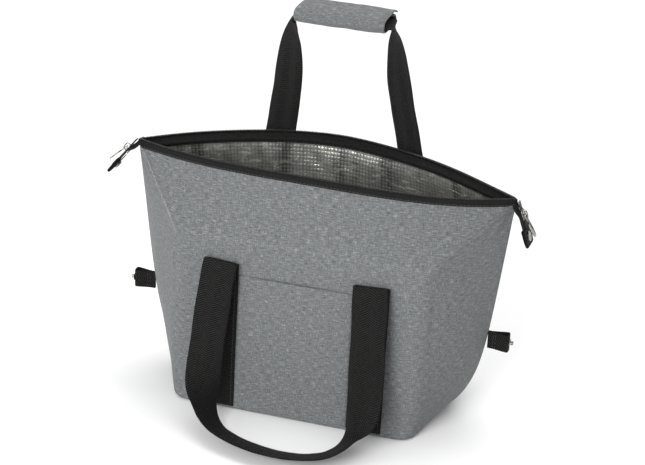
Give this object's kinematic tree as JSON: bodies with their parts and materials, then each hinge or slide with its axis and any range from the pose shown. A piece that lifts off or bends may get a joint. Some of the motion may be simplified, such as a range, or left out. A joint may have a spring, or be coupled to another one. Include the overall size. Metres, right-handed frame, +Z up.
{
  "type": "insulated cooler bag",
  "caption": "Soft insulated cooler tote with a foil lined body, wide zip mouth standing open, two webbing carry handles, a padded grip wrap and snap tabs on the ends.",
  "frame": {"origin": "centre of the base on the surface that the bag stands on", "axes": "+Z up, -Y out of the front with the pocket, +X towards the right end seen from the front"},
  "size_m": [0.474, 0.2967, 0.4062],
  "materials": {
    "grey_fabric": "grey melange woven polyester, matte",
    "black_webbing": "black polypropylene webbing, ribbed",
    "zip_tape": "black woven tape, matte",
    "zip_teeth": "black moulded coil",
    "foil_lining": "embossed metallised film, crinkled",
    "foam": "white polyethylene foam",
    "hook_and_loop": "black hook and loop tape",
    "metal": "nickel plated"
  },
  "bodies": {
    "bag": {"front_outer_fabric": "grey_fabric", "back_outer_fabric": "grey_fabric", "base_outer_fabric": "grey_fabric", "front_pocket_panel": "grey_fabric", "front_foil_lining": "foil_lining", "back_foil_lining": "foil_lining", "base_foil_lining": "foil_lining", "base_foam_sheet": "foam", "front_foam_sheet": "foam", "back_foam_sheet": "foam", "front_yoke_foam": "foam", "back_yoke_foam": "foam", "front_left_end_foam": "foam", "front_right_end_foam": "foam", "back_left_end_foam": "foam", "back_right_end_foam": "foam", "front_zip_tape": "zip_tape", "front_mouth_facing": "zip_tape", "back_zip_tape": "zip_tape", "back_mouth_facing": "zip_tape", "front_zip_teeth": "zip_teeth", "back_zip_teeth": "zip_teeth", "front_left_sewn_strap": "black_webbing", "front_right_sewn_strap": "black_webbing", "back_left_sewn_strap": "black_webbing", "back_right_sewn_strap": "black_webbing"},
    "front_handle": {"front_handle_webbing": "black_webbing"},
    "back_handle": {"back_handle_webbing": "black_webbing", "grip_wrap_base": "grey_fabric", "grip_wrap_loop_strip": "hook_and_loop"},
    "wrap_flap": {"grip_wrap_flap": "grey_fabric", "grip_wrap_hook_strip": "hook_and_loop"},
    "left_tail": {"left_zip_tail": "zip_tape", "left_tail_cover": "black_webbing", "left_tail_snap_cap": "metal", "left_tail_snap_socket": "metal"},
    "left_slider": {"left_zip_slider": "metal"},
    "left_pull": {"left_zip_pull": "metal"},
    "left_tab": {"left_side_tab": "black_webbing", "left_tab_snap_stud": "metal", "left_tab_rivet": "metal"},
    "right_tail": {"right_zip_tail": "zip_tape", "right_tail_cover": "black_webbing", "right_tail_snap_cap": "metal", "right_tail_snap_socket": "metal"},
    "right_slider": {"right_zip_slider": "metal"},
    "right_pull": {"right_zip_pull": "metal"},
    "right_tab": {"right_side_tab": "black_webbing", "right_tab_snap_stud": "metal", "right_tab_rivet": "metal"}
  },
  "joints": [
    {"name": "front_handle_swing", "type": "hinge", "parent": "bag", "child": "front_handle", "pos_m": [0, -0.084, 0.169], "axis": [-1, 0, 0], "range_deg": [0, 150]},
    {"name": "back_handle_swing", "type": "hinge", "parent": "bag", "child": "back_handle", "pos_m": [0, 0.0825, 0.1675], "axis": [-1, 0, 0], "range_deg": [0, 125]},
    {"name": "wrap_flap_open", "type": "hinge", "parent": "back_handle", "child": "wrap_flap", "pos_m": [-0.007, 0.0524, 0.396], "axis": [1, 0, 0], "range_deg": [0, 150]},
    {"name": "left_tail_swing", "type": "hinge", "parent": "bag", "child": "left_tail", "pos_m": [-0.209, 0, 0.255], "axis": [0, -1, 0], "range_deg": [-111, 31]},
    {"name": "left_slider_slide", "type": "slide", "parent": "left_tail", "child": "left_slider", "axis": [-0.6293, 0, -0.7771], "range_m": [-0.006, 0]},
    {"name": "left_pull_swing", "type": "hinge", "parent": "left_slider", "child": "left_pull", "pos_m": [-0.22265, 0, 0.24418], "axis": [0, 1, 0], "range_deg": [0, 110]},
    {"name": "left_tab_swing", "type": "hinge", "parent": "bag", "child": "left_tab", "pos_m": [-0.19111, 0, 0.091], "axis": [0, 0, 1], "range_deg": [-50, 50]},
    {"name": "right_tail_swing", "type": "hinge", "parent": "bag", "child": "right_tail", "pos_m": [0.209, 0, 0.255], "axis": [0, 1, 0], "range_deg": [-131, 11]},
    {"name": "right_slider_slide", "type": "slide", "parent": "right_tail", "child": "right_slider", "axis": [0.3256, 0, -0.9455], "range_m": [-0.006, 0]},
    {"name": "right_pull_swing", "type": "hinge", "parent": "right_slider", "child": "right_pull", "pos_m": [0.21813, 0, 0.24016], "axis": [0, -1, 0], "range_deg": [0, 110]},
    {"name": "right_tab_swing", "type": "hinge", "parent": "bag", "child": "right_tab", "pos_m": [0.19111, 0, 0.091], "axis": [0, 0, 1], "range_deg": [-50, 50]}
  ]
}
